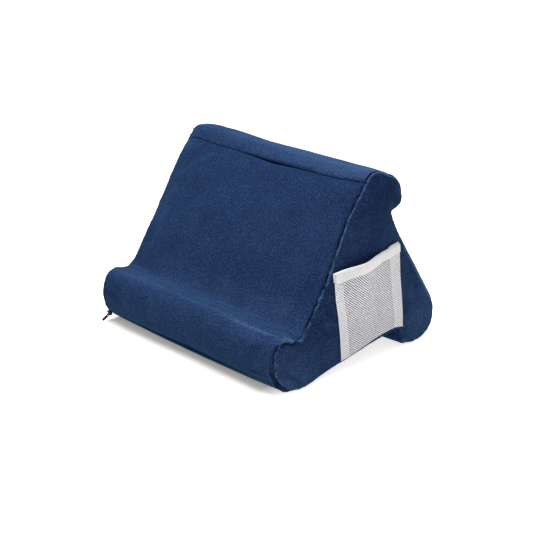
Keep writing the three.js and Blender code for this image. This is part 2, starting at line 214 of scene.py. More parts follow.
foam = bmesh.new()
foam.from_mesh(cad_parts["cushion"].data)
bmesh.ops.remove_doubles(foam, verts=foam.verts, dist=1e-5)
foam.normal_update()
foam_surface = BVHTree.FromBMesh(foam)
for vert in foam.verts:
    vert.co -= vert.normal * SLACK
cover_mesh = bpy.data.meshes.new("plush_cushion")
foam.to_mesh(cover_mesh)
foam.free()
cushion = new_object("plush_cushion", cover_mesh)
remesh = cushion.modifiers.new("cloth_squares", "REMESH")
remesh.mode = "VOXEL"
remesh.voxel_size = VOXEL
cushion.data = finished_mesh(cushion)
cushion.modifiers.clear()

laid = np.array([foam_surface.find_nearest(place)[0] for place in top_seam])
for _ in range(SEAM_SMOOTHING):
    laid[1:-1] = (laid[:-2] + 2 * laid[1:-1] + laid[2:]) / 4
top_seam = [tuple(place) for place in laid]
seams = {"right_end": right_end_seam, "left_end": left_end_seam, "top": top_seam, "zip": zip_seam}
points = points_of(cushion.data)
held = points[:, 2] < RESTS_BELOW
for line in seams.values():
    held |= near_line(line, points)[0] < SEWN_REACH
sewn = cushion.vertex_groups.new(name="sewn")
sewn.add([int(i) for i in np.flatnonzero(held)], 1.0, "REPLACE")
cloth = cushion.modifiers.new("filling", "CLOTH")
cloth.settings.quality = 5
cloth.settings.mass = 0.15
cloth.settings.tension_stiffness = 20
cloth.settings.compression_stiffness = 20
cloth.settings.shear_stiffness = 8
cloth.settings.bending_stiffness = 1.5
cloth.settings.use_pressure = True
cloth.settings.uniform_pressure_force = 4
cloth.settings.shrink_min = -0.006
cloth.settings.effector_weights.gravity = 0
cloth.settings.vertex_group_mass = "sewn"
cloth.point_cache.frame_start = 1
cloth.point_cache.frame_end = FRAMES
for step in range(1, FRAMES + 1):
    bpy.context.scene.frame_set(step)
blown = finished_mesh(cushion)
cushion.modifiers.clear()
bpy.context.scene.frame_set(1)
set_points(cushion.data, points_of(blown))
bpy.data.meshes.remove(blown)

smooth = cushion.modifiers.new("one_subdivision", "SUBSURF")
smooth.levels = smooth.render_levels = 1
cushion.data = finished_mesh(cushion)
cushion.modifiers.clear()
cushion.vertex_groups.clear()


def kept_near(points, middle, reach):
    """The points, eased to within reach of a layer that lies middle outside the foam."""
    eased = np.array(points)
    for i, point in enumerate(points):
        place, normal, _, _ = foam_surface.find_nearest(point)
        off = (Vector(point) - place).dot(normal)
        eased[i] = place + normal * (middle + reach[i] * math.tanh((off - middle) / reach[i]))
    return eased


def seam_distance(points, names):
    return np.min([near_line(seams[name], points)[0] for name in names], axis=0)


points = points_of(cushion.data)
set_points(cushion.data, kept_near(points, PUFF_MIDDLE, np.full(len(points), PUFF_REACH)))
lip_pinch = [
    to_row(x, LIP_PINCH["y"] + LIP_PINCH["slant"] * (x - LIP_PINCH["from"]), LIP_PINCH["z"])
    for x in range(LIP_PINCH["from"], LIP_PINCH["to"])
]
cover = bmesh.new()
cover.from_mesh(cushion.data)
for _ in range(2):
    bmesh.ops.smooth_vert(cover, verts=cover.verts, factor=0.5, use_axis_x=True, use_axis_y=True, use_axis_z=True)
for reach in FINE_WITHIN:
    places = np.array([v.co for v in cover.verts])
    near = np.minimum(seam_distance(places, seams), near_line(lip_pinch, places)[0] * PINCH_SHARE)
    cover.verts.index_update()
    edges = [e for e in cover.edges if min(near[e.verts[0].index], near[e.verts[1].index]) < reach]
    bmesh.ops.subdivide_edges(cover, edges=edges, cuts=1, smooth=0.6, use_grid_fill=True)
cover.to_mesh(cushion.data)
cover.free()
points = points_of(cushion.data)
loose = np.clip((seam_distance(points, ("right_end", "left_end")) - LOOSE_FROM) / LOOSE_OVER, 0, 1)
points = kept_near(points, 0, SEWN_EASE + loose * LOOSE_EASE)
left = np.clip((-LEFT_FROM - points[:, 0]) / LEFT_OVER, 0, 1)
by_ledge = np.exp(-(((points[:, 2] - LEDGE_Z) / LEDGE_SPREAD) ** 2))
by_ledge *= np.clip((points[:, 1] - LEDGE_Y) / LEDGE_OVER, LIP_SLACK, 1)
points[:, 0] -= LEFT_FULLNESS * (1 + LEDGE_FULLNESS * by_ledge) * left * left * (3 - 2 * left)
set_points(cushion.data, points)

# Seams of the cushion
# Each seam is a lockstitch that draws the plush into an uneven channel and parts its pile, and the channel carries
# painted shade. The end panel's edge stands up beside it as a frayed ridge with a painted highlight, and the top roll
# hangs over the middle of its seam in an open fold.
STITCH = 3.2
BESIDE = {
    "channel": (-0.5, 0.7), "parting_and_light": (-0.5, 0.6), "ridge": (1.3, 0.9), "swell": (-3.2, 2.0),
    "lip_swell": (-2.5, 1.6), "lip_hollow": (2.4, 1.8), "lip_channel_shade": (1.2, 1.0),
    "lip_fuzz_highlight": (1.9, 1.3), "lip_shade": (-1.8, 1.9), "lip_fibres": (3.5, 2.5),
    "flap_rise": (-1.5, 1.5), "flap_hollow": (2.4, 2.0), "flap_out": (-1.0, 1.6), "flap_down": (-0.6, 1.8),
    "flap_highlight": (-1.7, 1.3), "flap_shadow": (2.2, 2.2),
    "roll_edge": (0.5, 5), "roll_inside_shade": (-5, 4), "roll_rim": (0.8, 2.2), "roll_dip": (-6, 4), "back_rim_highlight": (0.8, 2.3),
}
GATHERS = {
    "wander": (6, 2), "lip_wander": (4.3, 7), "channel": (4.5, 15), "lip_channel": (5.2, 8), "ridge": (5.5, 17),
    "fine": (9, 3), "broad": (23, 5), "lip_parting": (3.7, 13), "lip_fuzz_highlight": (2.3, 4), "lip_shade": (5.0, 6),
    "lip_fibres": (1.7, 11),
}
OPEN_FOLD = (4, 34)
ZIP_DOUBLED, ZIP_FULL = (-55, 45), (20, 75)
points, normals = points_of(cushion.data), points_of(cushion.data, normals=True)
lift = np.zeros(len(points))
slide = np.zeros((len(points), 3))
# Tone offsets for the plush: the pile's own partings and tousled marks, and painted highlights and painted shade.
pile_and_light = np.zeros(len(points))


def bell(value, centre, width):
    return np.exp(-(((value - centre) / width) ** 2))


def rising(value, start, over):
    """From 0 at start to 1 after over."""
    return np.clip((value - start) / over, 0, 1)


def ripple(line_at, size, seed):
    """Uneven gathers along a seam, from -1 to 1."""
    table = [noise.noise(Vector((k * SEAM_STEP / size, seed, 0.5))) for k in range(int(line_at.max()) + 1)]
    return np.array(table)[line_at]


def beside(aside, mark):
    """How much of a mark is at this many millimetres from an end seam, the end panel's side being positive."""
    return bell(aside, *BESIDE[mark])


for name, way in (("right_end", 1), ("left_end", -1)):
    line = np.array(seams[name])
    far, at = near_line(seams[name], points)
    aside = far / MM * np.where(way * (points[:, 0] - line[at, 0]) > 0, 1, -1)
    seam_y, seam_z = line[at, 1] / MM, line[at, 2] / MM
    uneven = {mark: ripple(at, size, way * seed) for mark, (size, seed) in GATHERS.items()}
    stitch = 0.5 + 0.5 * np.cos(2 * np.pi * at * SEAM_STEP / STITCH)
    at_right = way > 0
    on_lip = bell(seam_y, -104, 26) * bell(seam_z, 22, 30)
    low_down = bell(seam_z, 20, 11) * on_lip
    on_ledge = at_right * bell(seam_y, -95, 12) * rising(seam_z, 50, 4)
    on_roll = bell(seam_z, 196, 16) * rising(seam_y, 8, 8)
    stands_up = at_right * bell(seam_y, 26, 12) * rising(seam_z, 180, 6)
    on_back = rising(seam_y, 62, 10) * rising(seam_z, 30, 20)
    plain = (1 - on_lip) * (1 - 0.8 * on_roll) * (1 - 0.8 * on_back)
    off_ledge = plain * (1 - on_ledge)

    slide[:, 2] += 4.0 * MM * stands_up * beside(aside, "roll_edge")
    # Painted shade on the roll's top just inside the raised end panel edge, matching the shaded end panel.
    pile_and_light -= 0.3 * stands_up * beside(aside, "roll_inside_shade")
    aside += (0.4 + 0.5 * plain) * uneven["wander"] + 1.6 * on_lip * uneven["lip_wander"]
    slide[:, 0] += way * 3.0 * MM * on_ledge * beside(aside, "flap_out")
    slide[:, 2] -= 1.9 * MM * on_ledge * beside(aside, "flap_down")

    loose_stitch = 1.8 * uneven["channel"] - 0.35
    tight = 1 + on_lip * (1.3 * uneven["lip_channel"] - 0.5) + plain * loose_stitch
    gathers = 1 + 2 * on_lip
    lift -= (0.8 + 0.5 * stitch) * tight * beside(aside, "channel")
    lift += 0.9 * plain * beside(aside, "ridge") + 0.4 * beside(aside, "swell")
    lift += on_lip * (0.9 * beside(aside, "lip_swell") - 1.1 * beside(aside, "lip_hollow"))
    lift += on_ledge * (0.5 * beside(aside, "flap_rise") - 1.6 * beside(aside, "flap_hollow"))
    lift += at_right * on_roll * (0.8 * beside(aside, "roll_rim") - 1.4 * beside(aside, "roll_dip"))
    lift += 0.30 * gathers * uneven["fine"] * np.exp(-far / MM / 7)
    lift += 0.35 * gathers * uneven["broad"] * np.exp(-far / MM / 14)

    broken = 1 - 0.9 * on_back + off_ledge * loose_stitch + on_lip * (1.2 * uneven["lip_parting"] - 0.5)
    highlight_along_ridge = 1 + 2.0 * uneven["ridge"]
    # Painted shade in the seam channel, where the pile also parts, and along the lip's channel edge.
    pile_and_light -= 0.7 * broken * beside(aside, "parting_and_light") + 0.4 * on_lip * beside(aside, "lip_channel_shade")
    # Painted highlight along the end panel's raised ridge, uneven and broken by the stitches.
    pile_and_light += (1.3 - 0.8 * stitch) * off_ledge * highlight_along_ridge * beside(aside, "ridge")
    # Painted highlight: a pale rim beside the back seam, where the pile catches the light.
    pile_and_light += 1.3 * on_back * beside(aside, "back_rim_highlight")
    # Painted highlight on the flap's edge over the ledge and painted shadow under its overhang.
    pile_and_light += on_ledge * (1.5 * beside(aside, "flap_highlight") - 1.6 * beside(aside, "flap_shadow"))
    # Beside the lip's end seam: pale fuzz and fibres, partly a painted highlight, and painted shade low down.
    pile_and_light += on_lip * (0.45 + 1.3 * uneven["lip_fuzz_highlight"]) * beside(aside, "lip_fuzz_highlight")
    pile_and_light += on_lip * 0.8 * np.maximum(uneven["lip_fibres"], 0) * beside(aside, "lip_fibres")
    pile_and_light -= 0.55 * low_down * (1 + 1.2 * uneven["lip_shade"]) * beside(aside, "lip_shade")

line = np.array(seams["top"])
far, at = near_line(seams["top"], points)
down = np.array((0.0, -front_z, front_y))
above = -((points - line[at]) @ down)
aside = over_top_seam = far / MM * np.where(above > 0, 1, -1)
seam_x = line[at, 0] / MM - MIDDLE_X
opened = 0.08 + 0.92 * bell(seam_x, *OPEN_FOLD)
lift -= (0.6 + 2.5 * opened) * bell(aside, -0.5 - 0.5 * opened, 0.6 + 1.2 * opened)
lift += (0.25 + 0.9 * opened) * bell(aside, 2.4, 1.9)
lift -= 0.6 * opened * bell(aside, -4, 3)
lift += 0.25 * ripple(at, 12, 9) * np.exp(-far / MM / 8)
slide += np.outer(1.3 * opened * bell(aside, 1.4, 1.4) * MM, down)
# Painted shadow in the top seam, deepest where the roll hangs over it in the open fold.
pile_and_light -= (0.5 + 0.9 * opened) * bell(aside, -0.4 - 0.4 * opened, 0.8 + 0.9 * opened)

line = np.array(seams["zip"])
far, at = near_line(seams["zip"], points)
aside = far / MM * np.where(points[:, 2] > line[at, 2], 1, -1)
seam_x = line[at, 0] / MM - MIDDLE_X
doubled = bell(seam_x, *ZIP_DOUBLED)
second_line = 0.9 * doubled * bell(aside, 5.4, 0.9)
lift -= 1.2 * bell(aside, -0.3, 1.2) + second_line
lift += (0.7 + 0.9 * bell(seam_x, *ZIP_FULL)) * bell(aside, 2.6, 2.2)
lift += 0.2 * ripple(at, 14, 12) * np.exp(-far / MM / 6)
# Painted shade along the zip seam and its second line, and a painted highlight on the raised band between.
pile_and_light -= 1.2 * bell(aside, -0.5, 2.1) + second_line
pile_and_light += 0.5 * doubled * bell(aside, 3.0, 1.1)

# Folds and creases of the cushion
# The cover folds softly behind the lip and sharply under the top roll. A small tuck lies at the right end of the
# ledge, soft creases run over the right end panel and the lip, and a fine one along the lip's right half. The creases
# carry painted shade and the fine one a painted highlight.
CREASES = (
    ((117, -109.5, 58.4), (133, -105.5, 60), 1.0, 1.2),
    ((108, -111, 57.6), (131, -109.5, 58.6), 1.6, 0.6),
    ((138, -52, 76), (138, -30, 57), 2.2, 0.8),
    ((138, -60, 62), (138, -40, 40), 2.6, 0.6),
    ((138, -104, 26), (138, -82, 6), 2.0, 0.8),
    ((126, -119, 24), (92, -118, 19), 2.4, 0.6),
    ((-128, -119, 40), (-96, -120, 34), 3.0, 0.6),
)
PINCH_FADES_IN, PINCH_FADES_OUT = 25, 8


def fold_of(notch, looks):
    """The deepest place of a notch that looks this way."""
    turn = math.radians(looks)
    return to_row(0, notch["y"] - notch["r"] * math.cos(turn), notch["z"] - notch["r"] * math.sin(turn))


lip_notch = notch_of(SHOULDER, FRONT_LOOKS, heel_of(LIP), LIP["shelf"], LIP["notch"])
roll_notch = notch_of(FOOT, BACK_LOOKS, heel_of(ROLL), ROLL["shelf"], ROLL["notch"])
lip_fold = fold_of(lip_notch, (FRONT_LOOKS + LIP["shelf"]) / 2)
roll_fold = fold_of(roll_notch, (BACK_LOOKS + ROLL["shelf"]) / 2)
from_lip_fold = np.hypot(points[:, 1] - lip_fold[1], points[:, 2] - lip_fold[2]) / MM
from_roll_fold = np.hypot(points[:, 1] - roll_fold[1], points[:, 2] - roll_fold[2]) / MM
lift += (2.4 + 1.0 * rising(-points[:, 0] / MM, 90, 30)) * bell(from_lip_fold, 0, 9)
lift -= 0.9 * bell(from_roll_fold, 0, 3.2)
for start, end, width, depth in CREASES:
    a, b = np.array(to_row(*start)), np.array(to_row(*end))
    share = np.clip((points - a) @ (b - a) / ((b - a) @ (b - a)), 0, 1)
    far = np.linalg.norm(points - a - share[:, None] * (b - a), axis=1) / MM
    lift += depth * (0.6 * bell(far, 2.2 * width, 1.2 * width) - bell(far, 0, width)) * np.sin(np.pi * share) ** 0.7
    # Painted shade along each crease.
    pile_and_light -= 0.35 * bell(far, 0, width) * np.sin(np.pi * share)
far, at = near_line(lip_pinch, points)
firm = np.clip(at / PINCH_FADES_IN, 0, 1) * np.clip((len(lip_pinch) + 2 - at) / PINCH_FADES_OUT, 0, 1)
lift += 0.3 * firm * bell(far / MM, 0, 1.2)
# Painted highlight along the lip's fine crease.
pile_and_light += 0.36 * firm * bell(far / MM, 0, 1.0)

# Painted light, tousled pile and fullness of the cushion
# The plush's tone follows the way each face looks, as painted light: painted highlights over the top of the lip, its
# ledge wall, just above the fold and on the roll, stronger to the right, and painted shade below, under and at the
# left of the lip and higher on the front panel. The end panels get painted lighter patches low down, as floor light
# near lip and foot, and painted shade near the roll, besides their own tousled marks. The filling is slack along the
# roll and in its left corner, and full in lip and foot.
LIP_TOP_HIGHLIGHT, LIP_HIGHLIGHT_LINE, LEDGE_WALL_HIGHLIGHT, BELOW_LIP = (104, 14), (112, 6), (132, 20), (238, 16)
SWELLS = ((57.5, 161, 9, 2.2), (112, 12, 12, 1.5), (70, 8, 10, 1.5))
PANEL_LIGHT_AND_SHADE = ((-98, 14, 24, 0.4), (92, 26, 30, 0.3), (36, 178, 26, -0.25))
TOUSLED = 0.13
POCKET_PRESS = 0.1
looks = np.degrees(np.arctan2(normals[:, 2], normals[:, 1])) % 360
wrap = np.clip((0.8 - np.abs(normals[:, 0])) / 0.3, 0, 1)
on_panel = rising(np.abs(normals[:, 0]), 0.6, 0.3)
x, y, z = points[:, 0] / MM - MIDDLE_X, points[:, 1] / MM, points[:, 2] / MM
to_right = rising(x, 20, 60)
on_top = rising(z, 165, 15)
in_front = rising(-y, 60, 10)
low_side = np.where(looks < 300, rising(looks, 185, 35), 0)
underside = np.where(looks < 300, rising(looks, 213, 9), 0)
# Painted highlights and painted shade, by the way each face looks and where it lies.
pile_and_light += wrap * (1 - on_top) * (0.3 * bell(looks, *LIP_TOP_HIGHLIGHT) + 0.1 * to_right * bell(looks, *LIP_HIGHLIGHT_LINE))
pile_and_light += wrap * in_front * (0.08 + 0.12 * to_right) * bell(looks, *LEDGE_WALL_HIGHLIGHT) * rising(from_lip_fold, 10, 10)
pile_and_light += wrap * 0.2 * bell(from_lip_fold, 3, 20) * rising(looks, 115, 20)
pile_and_light -= wrap * in_front * low_side * (0.3 + 0.15 * rising(-x, 0, 80))
pile_and_light -= wrap * in_front * (0.8 * underside + 0.2 * rising(-x, 80, 35) * rising(looks, 115, 40))
pile_and_light -= wrap * 0.06 * bell(from_lip_fold, 38, 20) * rising(y, lip_fold[1] / MM, 4)
pile_and_light += wrap * on_top * (0.23 + 0.23 * x / HALF_SPAN) * rising(over_top_seam, 1, 3)
tousled = np.array([
    noise.noise(Vector((p[0] * 40, p[1] * 70, p[2] * 120))) + noise.noise(Vector(p) * 30 + Vector((3, 5, 9)))
    for p in points
])
pile_and_light += on_panel * TOUSLED * tousled
# Painted lighter and darker patches on the end panels.
for tone_y, tone_z, reach, paler in PANEL_LIGHT_AND_SHADE:
    pile_and_light += on_panel * paler * bell(np.hypot(y - tone_y, z - tone_z), 0, reach)

left_corner = rising(-x, 112, 24) ** 2 * rising(z, 165, 20)
low_corner = bell(y, -74, 18) * bell(z, 4, 14) * rising(x, 122, 8)
lift -= 2.6 * rising(z, 180, 18) * bell(x, 5, 90)
lift -= 3.2 * left_corner * np.clip((28 - y) / 16, -0.3, 1)
lift += 1.5 * wrap * bell(looks, *BELOW_LIP) * bell(x, 20, 50) * in_front
for swell_y, swell_z, reach, height in SWELLS:
    lift += height * bell(np.hypot(y - swell_y, z - swell_z), 0, reach)
lift += np.array([
    0.5 * noise.noise(Vector(p) / 0.075) + 0.2 * noise.noise(Vector(p) / 0.024 + Vector((7, 3, 1))) for p in points
])
slide[:, 0] += 3.5 * MM * low_corner
under_pocket = (points[:, 0] > 0.11) & (abs(y - 12) < 60) & (z > 14) & (z < 125)
lift = np.where(under_pocket, np.minimum(lift, POCKET_PRESS), lift)
points = points + normals * (lift * MM)[:, None] + slide
points[:, 2] = np.maximum(points[:, 2], 0)
set_points(cushion.data, points)
# The tone offsets, painted highlights and painted shade among them, go to the plush as a vertex attribute.
pile_light_attribute = cushion.data.attributes.new("pile_and_painted_light", "FLOAT", "POINT")
pile_light_attribute.data.foreach_set("value", np.clip(pile_and_light, -1, 1))
for polygon in cushion.data.polygons:
    polygon.use_smooth = True


# Plush of the cover
# Short cut pile on a knitted back: deep navy, with a pale bloom where it is seen along the pile, faint marks where
# it was brushed, and fine fibres. Its tone attribute darkens it in seam channels and creases as painted shade and
# pales it on ridges and lit faces as painted highlights, besides the pile's own partings and tousled marks.
def node(tree, kind, **values):
    made = tree.nodes.new(kind)
    for key, value in values.items():
        if key in made.inputs:
            made.inputs[key].default_value = value
        else:
            setattr(made, key, value)
    return made


def finish_of(name, colour, roughness, **sockets):
    """A material with its shader, and the tree it is in."""
    material = bpy.data.materials.new(name)
    material.use_nodes = True
    shader = material.node_tree.nodes["Principled BSDF"]
    shader.inputs["Base Color"].default_value = (*colour, 1)
    shader.inputs["Roughness"].default_value = roughness
    for key, value in sockets.items():
        shader.inputs[key].default_value = value
    return material, material.node_tree, shader


def ramp(tree, *stops):
    """A colour ramp with stops of (position, colour)."""
    made = node(tree, "ShaderNodeValToRGB")
    while len(made.color_ramp.elements) < len(stops):
        made.color_ramp.elements.new(0.5)
    for element, (position, colour) in zip(made.color_ramp.elements, stops):
        element.position, element.color = position, (*colour, 1)
    return made


def weighed(tree, *parts):
    """The sum of values, each times its weight."""
    total = None
    for output, weight in parts:
        step = node(tree, "ShaderNodeMath", operation="MULTIPLY_ADD")
        step.inputs[1].default_value = weight
        step.inputs[2].default_value = 0
        tree.links.new(output, step.inputs[0])
        if total:
            tree.links.new(total, step.inputs[2])
        total = step.outputs[0]
    return total


plush, tree, shader = finish_of(
    "navy_plush", (0.0075, 0.0205, 0.064), 0.9,
    **{"Sheen Weight": 0.26, "Sheen Roughness": 0.35, "Sheen Tint": (0.22, 0.55, 1, 1), "Specular IOR Level": 0.0},
)
link = tree.links.new
where = node(tree, "ShaderNodeTexCoord")
patches = node(tree, "ShaderNodeTexNoise", Scale=38, Detail=3, Roughness=0.55)
brushed_turn = node(tree, "ShaderNodeMapping", vector_type="TEXTURE")
brushed_turn.inputs["Rotation"].default_value = (0.5, 0.9, 0.4)
brushed_turn.inputs["Scale"].default_value = (3.2, 1, 1)
brushed = node(tree, "ShaderNodeTexNoise", Scale=420, Detail=2, Roughness=0.6)
fibre = node(tree, "ShaderNodeTexNoise", Scale=1250, Detail=1, Roughness=0.6)
# The tone attribute, carrying painted highlights and painted shade.
parting_and_light = node(tree, "ShaderNodeAttribute", attribute_name="pile_and_painted_light")
link(where.outputs["Object"], patches.inputs["Vector"])
link(where.outputs["Object"], brushed_turn.inputs["Vector"])
link(brushed_turn.outputs["Vector"], brushed.inputs["Vector"])
link(where.outputs["Object"], fibre.inputs["Vector"])
amount = weighed(
    tree,
    (patches.outputs["Fac"], 0.12),
    (brushed.outputs["Fac"], 0.05),
    (fibre.outputs["Fac"], 0.99),
    (parting_and_light.outputs["Fac"], 0.34),
)
tone = ramp(
    tree,
    (0.24, (0.0014, 0.0033, 0.0094)),
    (0.51, (0.0042, 0.0102, 0.032)),
    (0.66, (0.0110, 0.0234, 0.067)),
    (0.98, (0.0430, 0.0770, 0.145)),
)
link(amount, tone.inputs["Fac"])
link(tone.outputs["Color"], shader.inputs["Base Color"])
bump = node(tree, "ShaderNodeBump", Strength=0.12, Distance=0.0009)
fine_bump = node(tree, "ShaderNodeBump", Strength=0.75, Distance=0.0006)
link(brushed.outputs["Fac"], bump.inputs["Height"])
link(fibre.outputs["Fac"], fine_bump.inputs["Height"])
link(bump.outputs["Normal"], fine_bump.inputs["Normal"])
link(fine_bump.outputs["Normal"], shader.inputs["Normal"])
cushion.data.materials.clear()
cushion.data.materials.append(plush)
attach(cushion, "root")
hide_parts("cushion")

# Net of the pocket
# A warp-knit net with small staggered holes, cut with a top edge that falls to the rear. Its sides are turned under
# as doubled hems, its foot is caught in the base seam, and it stands off the end panel and gapes at the mouth.
POCKET = {"y": -23.6, "z": 12.8, "turn": 9.7, "width": 93.5, "base_width": 88, "front_height": 100, "rear_height": 94}
MOUTH_GAPE, MOUTH_AT, MOUTH_SPREAD = 6.5, 0.38, 0.2
SEWN_STANDOFF, TOP_STANDOFF = 1.5, 3
HEM_WIDTH, HEM_FLARE = 14, 3.5
STIFF_CORNER, STIFF_LEAN, STIFF_ABOVE, STIFF_OVER = 12, 0.12, 0.7, 0.2
DROOP, DROOP_FROM = 3.1, 13
HEM_BULGE, BULGE_BELOW, BULGE_OVER = 2.2, 0.92, 0.2
FOOT_ARCH, ARCH_AT, ARCH_SPREAD = 2.8, 62, 32
FOOT_REACH = 30
HOLE_ACROSS, HOLE_UP = 2.72, 2.8
HOLE_RADIUS = 0.85
YARN_RISE, YARN_TIP = 0.2, 0.06
HEM_FOLD = 0.36
NET_FOOT, NET_HEAD = 0.3, 1.6
PATCH_STEPS, PATCH_MARGIN, PATCH_TOP = 40, 1, 1.03


def pocket_height(s):
    return POCKET["front_height"] + (POCKET["rear_height"] - POCKET["front_height"]) * s / POCKET["width"]


def pocket_place(s, t):
    """The middle of the net at s across and t up the pocket, in millimetres of the cut."""
    up = min(max(t / pocket_height(s), 0), 1.1)
    turn = math.radians(POCKET["turn"])
    share = min(max(s / POCKET["width"], 0), 1)
    wide = s * (up + (1 - up) * POCKET["base_width"] / POCKET["width"])
    wide -= HEM_BULGE * min(max((BULGE_BELOW - up) / BULGE_OVER, 0), 1) * (1 - share)
    y = POCKET["y"] + math.cos(turn) * wide - math.sin(turn) * t
    z = POCKET["z"] + math.sin(turn) * wide + math.cos(turn) * t
    start = Vector((0.3, (y + OUTLINE_Y) * MM, z * MM))
    rest = foam_surface.ray_cast(start, Vector((-1, 0, 0)))[0]
    bump_out = math.exp(-(((share - MOUTH_AT) / MOUTH_SPREAD) ** 2))
    hold = math.sqrt(max(math.sin(math.pi * share), 0))
    gape = MOUTH_GAPE * bump_out * hold * up**1.4
    standoff = SEWN_STANDOFF + (TOP_STANDOFF - SEWN_STANDOFF) * up**2
    return np.array((rest.x + (standoff + gape) * MM, start.y, start.z))


across = np.linspace(-PATCH_MARGIN, POCKET["width"] + PATCH_MARGIN, PATCH_STEPS + 1)
up_share = np.linspace(0, PATCH_TOP, PATCH_STEPS + 1)
patch = np.array([[pocket_place(s, u * pocket_height(s)) for s in across] for u in up_share])
stiff = np.searchsorted(across, STIFF_CORNER)
for column in range(stiff):
    straight_x = patch[:, stiff, 0] - STIFF_LEAN * (across[stiff] - across[column]) * MM
    patch[:, column, 0] += rising(up_share, STIFF_ABOVE, STIFF_OVER) * np.maximum(straight_x - patch[:, column, 0], 0)
for _ in range(3):
    patch[1:-1, 1:-1, 0] = (
        patch[1:-1, 1:-1, 0] * 2 + patch[:-2, 1:-1, 0] + patch[2:, 1:-1, 0] + patch[1:-1, :-2, 0] + patch[1:-1, 2:, 0]
    ) / 6


def on_pocket(flat):
    """Moves points from (across, up, out of the net), in millimetres, onto the pocket."""
    s, t, out = flat.T
    column = (s + PATCH_MARGIN) / (POCKET["width"] + 2 * PATCH_MARGIN) * PATCH_STEPS
    column = np.clip(column, 0, PATCH_STEPS - 1e-6)
    row = np.clip(t / pocket_height(s) / PATCH_TOP * PATCH_STEPS, 0, PATCH_STEPS - 1e-6)
    c, r = column.astype(int), row.astype(int)
    a, b = (column - c)[:, None], (row - r)[:, None]
    across_low = patch[r, c + 1] - patch[r, c]
    across_high = patch[r + 1, c + 1] - patch[r + 1, c]
    low = patch[r, c] + across_low * a
    high = patch[r + 1, c] + across_high * a
    normal = np.cross(across_low * (1 - b) + across_high * b, high - low)
    normal /= np.linalg.norm(normal, axis=1)[:, None]
    return low + (high - low) * b + normal * (out * MM)[:, None]


def net_piece(wide, tall):
    """A flat net of staggered holes, lens-shaped yarns between them, as a bmesh in millimetres."""
    hexagon = bmesh.new()
    ring = bmesh.ops.create_circle(hexagon, cap_ends=True, segments=6, radius=1)["verts"]
    side = 1 - YARN_TIP
    tips = [(YARN_TIP, 1), (-YARN_TIP, 1), (-side, 0), (-YARN_TIP, -1), (YARN_TIP, -1), (side, 0)]
    for vert, (x, y) in zip(ring, tips):
        vert.co = (x * HOLE_ACROSS / 2, y * HOLE_UP / 2, YARN_RISE)
    rim = bmesh.ops.inset_individual(hexagon, faces=hexagon.faces[:], thickness=0.1)
    middle = [f for f in hexagon.faces if f not in rim["faces"]]
    for vert in middle[0].verts:
        turn = math.pi / 3 * round(math.atan2(vert.co.y, vert.co.x) / (math.pi / 3))
        vert.co = (HOLE_RADIUS * math.cos(turn), HOLE_RADIUS * math.sin(turn), 0)
    bmesh.ops.delete(hexagon, geom=middle, context="FACES")
    back = bmesh.ops.duplicate(hexagon, geom=hexagon.faces[:])["geom"]
    for vert in {v for f in back if isinstance(f, bmesh.types.BMFace) for v in f.verts}:
        vert.co.z = -vert.co.z
    bmesh.ops.reverse_faces(hexagon, faces=[f for f in back if isinstance(f, bmesh.types.BMFace)])
    bmesh.ops.remove_doubles(hexagon, verts=hexagon.verts, dist=0.001)
    other = bmesh.ops.duplicate(hexagon, geom=hexagon.verts[:] + hexagon.edges[:] + hexagon.faces[:])["geom"]
    step = Vector((HOLE_ACROSS / 2, HOLE_UP / 2, 0))
    bmesh.ops.translate(hexagon, verts=[v for v in other if isinstance(v, bmesh.types.BMVert)], vec=step)
    bmesh.ops.remove_doubles(hexagon, verts=hexagon.verts, dist=0.001)
    cell = bpy.data.meshes.new("net_cell")
    hexagon.to_mesh(cell)
    hexagon.free()
    holder = new_object("net_cell", cell)
    for way, pitch, length in ((0, HOLE_ACROSS, wide), (1, HOLE_UP, tall)):
        rows = holder.modifiers.new("rows", "ARRAY")
        rows.count = math.ceil(length / pitch) + 2
        rows.use_relative_offset = False
        rows.use_constant_offset = True
        rows.constant_offset_displace = [pitch if axis == way else 0 for axis in range(3)]
        rows.use_merge_vertices = True
        rows.use_merge_vertices_cap = False
        rows.merge_threshold = 0.001
    made = bmesh.new()
    made.from_mesh(finished_mesh(holder))
    bpy.data.objects.remove(holder)
    bmesh.ops.remove_doubles(made, verts=made.verts, dist=0.001)
    return made


fold_length = math.pi * HEM_FOLD
cut_wide = POCKET["width"] + 2 * HEM_WIDTH - 1
net = net_piece(cut_wide + HEM_FLARE, POCKET["front_height"])
slope = (POCKET["rear_height"] - POCKET["front_height"]) / POCKET["width"]
bmesh.ops.translate(net, verts=net.verts, vec=(-HEM_WIDTH - 1.3, -1.2, 0))
hem_lean = HEM_FLARE / POCKET["front_height"]
sides = (
    ((-HEM_WIDTH, 0, 0), (-1, hem_lean, 0)),
    ((POCKET["width"] + HEM_WIDTH - 1, 0, 0), (1, -hem_lean, 0)),
    ((0, NET_FOOT, 0), (0, -1, 0)),
    ((0, POCKET["front_height"] - NET_HEAD, 0), (-slope, 1, 0)),
)
for place, outward in sides:
    everything = net.verts[:] + net.edges[:] + net.faces[:]
    bmesh.ops.bisect_plane(net, geom=everything, dist=1e-5, plane_co=place, plane_no=outward, clear_outer=True)
bmesh.ops.holes_fill(net, edges=[e for e in net.edges if e.is_boundary], sides=0)
bmesh.ops.recalc_face_normals(net, faces=net.faces)
net_mesh = bpy.data.meshes.new("pocket_net")
net.to_mesh(net_mesh)
net.free()
flat = points_of(net_mesh)
s, t, out = flat.T.copy()
